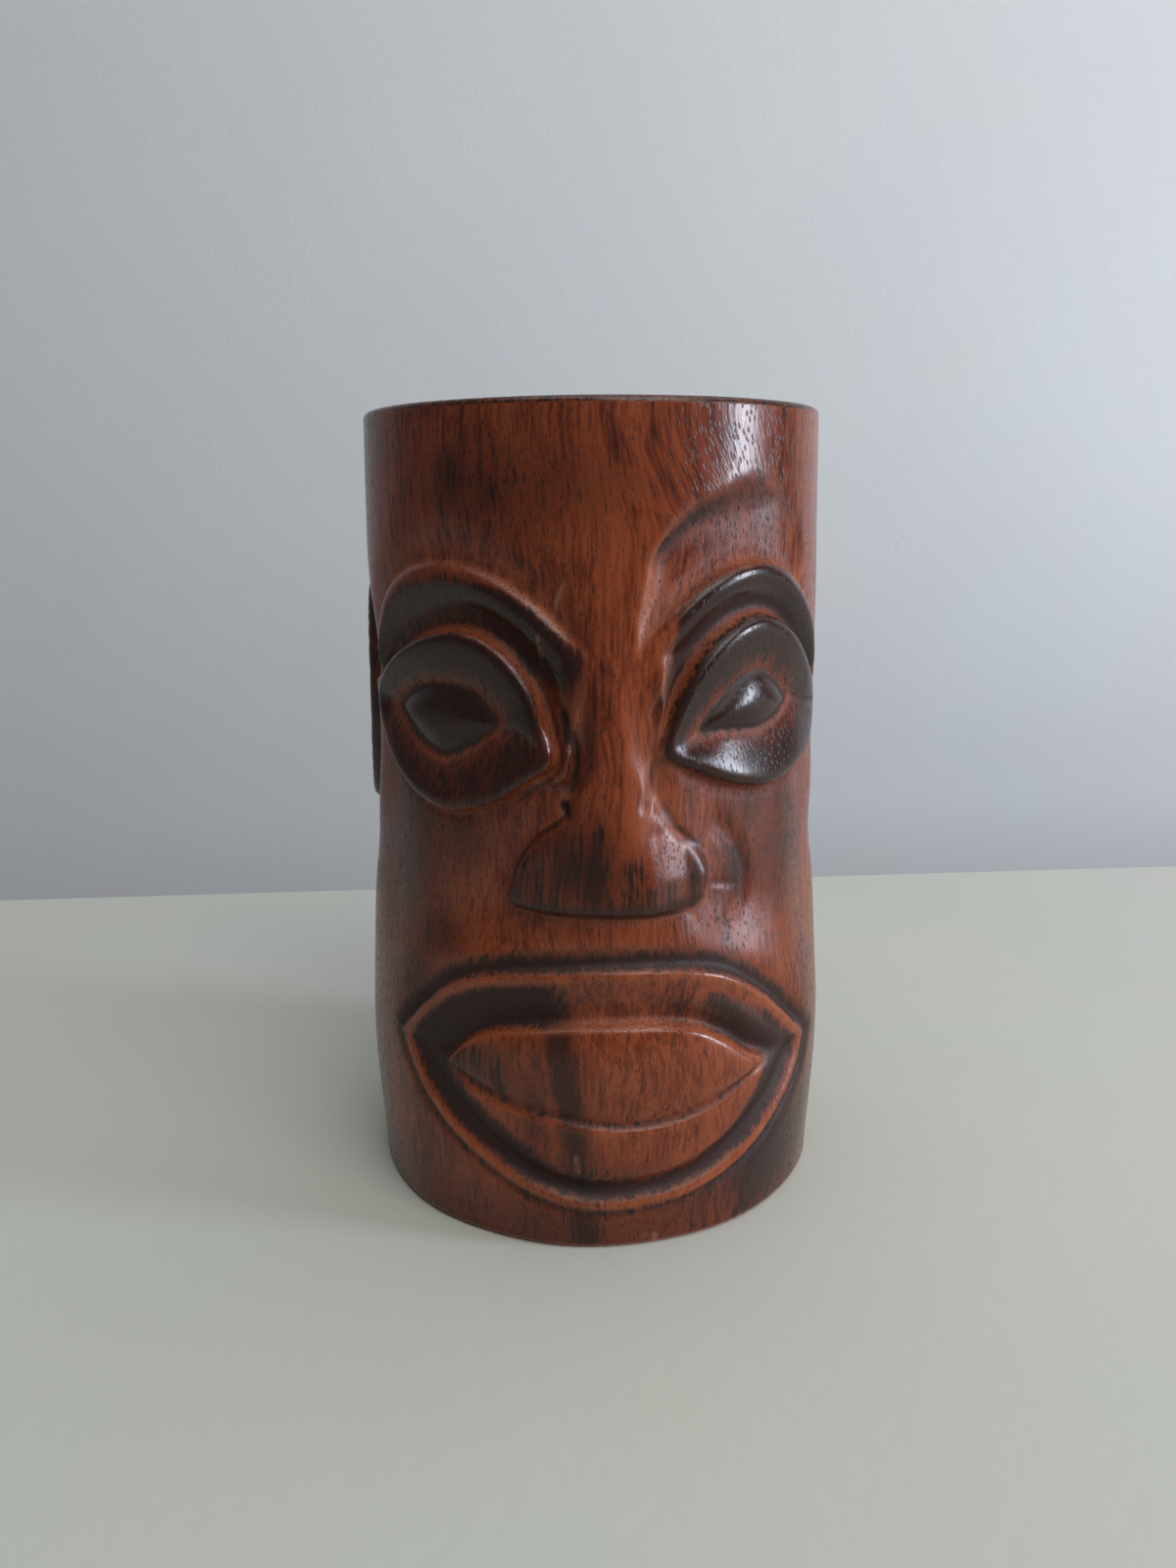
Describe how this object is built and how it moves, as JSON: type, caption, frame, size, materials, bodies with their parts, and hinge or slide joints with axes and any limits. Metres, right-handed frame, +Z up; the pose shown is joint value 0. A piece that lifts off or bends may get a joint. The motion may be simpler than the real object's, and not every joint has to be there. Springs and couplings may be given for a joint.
{
  "type": "carved wooden mug",
  "caption": "Tall cylindrical wooden mug with a stylised face carved in relief on its front, an ear on each side and a deep round cavity.",
  "frame": {"origin": "centre of the foot, on the surface that the mug stands on", "axes": "+Z up along the bore, the carved face looks along -Y, +X to the right of someone facing it"},
  "size_m": [0.1024, 0.1017, 0.165],
  "materials": {
    "carved_hardwood": "oiled and lacquered, semi-gloss, burnt shading in the cuts",
    "floor_hardwood": "sanded and oiled"
  },
  "bodies": {
    "root": {"mug_body": "carved_hardwood", "base_disc": "floor_hardwood"}
  },
  "joints": []
}
